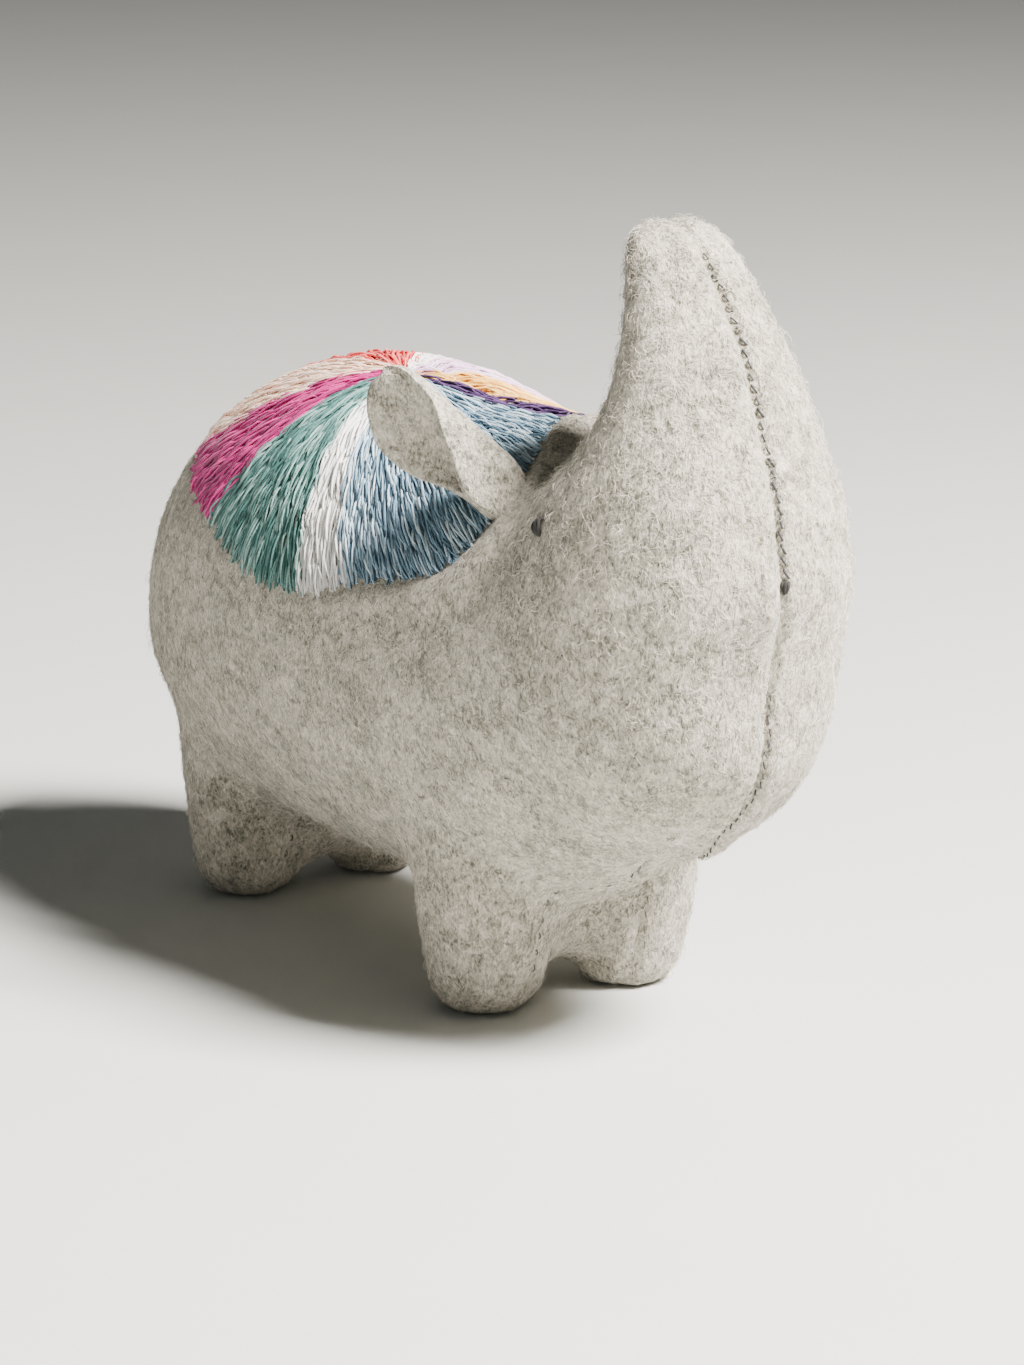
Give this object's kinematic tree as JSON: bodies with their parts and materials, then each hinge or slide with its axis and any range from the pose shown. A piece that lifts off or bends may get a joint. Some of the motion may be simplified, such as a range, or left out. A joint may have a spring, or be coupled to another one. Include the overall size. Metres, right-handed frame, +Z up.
{
  "type": "stuffed elephant",
  "caption": "Small hand-sewn felt elephant with a raised trunk, four stubby legs, cupped ears and a round patch of coloured thread on its back.",
  "frame": {"origin": "on the surface that the soles stand on, under the middle of the overall box", "axes": "+X towards the elephant's face, +Y to its left, +Z up"},
  "size_m": [0.1587, 0.064, 0.1215],
  "materials": {
    "felt": "thick brushed wool felt with a curly nap",
    "stuffing": "loose wool wadding",
    "seam_thread": "dark grey sewing thread",
    "dark_thread": "black embroidery thread knots",
    "threads_denim": "stranded cotton embroidery thread, soft sheen",
    "threads_white": "stranded cotton embroidery thread, soft sheen",
    "threads_teal": "stranded cotton embroidery thread, soft sheen",
    "threads_magenta": "stranded cotton embroidery thread, soft sheen",
    "threads_cream": "stranded cotton embroidery thread, soft sheen",
    "threads_coral": "stranded cotton embroidery thread, soft sheen",
    "threads_ivory": "stranded cotton embroidery thread, soft sheen",
    "threads_lilac": "stranded cotton embroidery thread, soft sheen",
    "threads_gold": "stranded cotton embroidery thread, soft sheen",
    "threads_plum": "stranded cotton embroidery thread, soft sheen"
  },
  "bodies": {
    "root": {"side_panel_right": "felt", "side_panel_left": "felt", "belly_gusset": "felt", "stuffing_torso": "stuffing", "stuffing_head": "stuffing", "stuffing_trunk": "stuffing", "stuffing_leg_front_right": "stuffing", "stuffing_leg_front_left": "stuffing", "stuffing_leg_hind_right": "stuffing", "stuffing_leg_hind_left": "stuffing", "face_seam": "seam_thread", "chin_seam": "seam_thread", "nape_seam": "seam_thread", "rump_seam": "seam_thread", "gusset_seam_right": "seam_thread", "gusset_seam_left": "seam_thread", "ear_stitches_right": "seam_thread", "ear_stitches_left": "seam_thread", "tail_stitches": "seam_thread", "eye_right": "dark_thread", "eye_left": "dark_thread", "mouth_knot": "dark_thread", "threads_denim": "threads_denim", "threads_white": "threads_white", "threads_teal": "threads_teal", "threads_magenta": "threads_magenta", "threads_cream": "threads_cream", "threads_coral": "threads_coral", "threads_ivory": "threads_ivory", "threads_lilac": "threads_lilac", "threads_gold": "threads_gold", "threads_plum": "threads_plum"},
    "ear_right": {"ear_right": "felt"},
    "ear_left": {"ear_left": "felt"},
    "tail": {"tail": "felt"}
  },
  "joints": [
    {"name": "ear_right_flap", "type": "hinge", "parent": "root", "child": "ear_right", "pos_m": [0.03139, -0.01939, 0.08269], "axis": [0.8452, 0.4259, 0.3228], "range_deg": [-20, 20], "stiffness_Nm_per_rad": 0.004},
    {"name": "ear_left_flap", "type": "hinge", "parent": "root", "child": "ear_left", "pos_m": [0.03139, 0.01939, 0.08269], "axis": [-0.8452, 0.4259, -0.3228], "range_deg": [-20, 20], "stiffness_Nm_per_rad": 0.004},
    {"name": "tail_swing", "type": "hinge", "parent": "root", "child": "tail", "pos_m": [-0.07377, 0, 0.062], "axis": [1, 0, 0], "range_deg": [-40, 40], "stiffness_Nm_per_rad": 0.002}
  ]
}
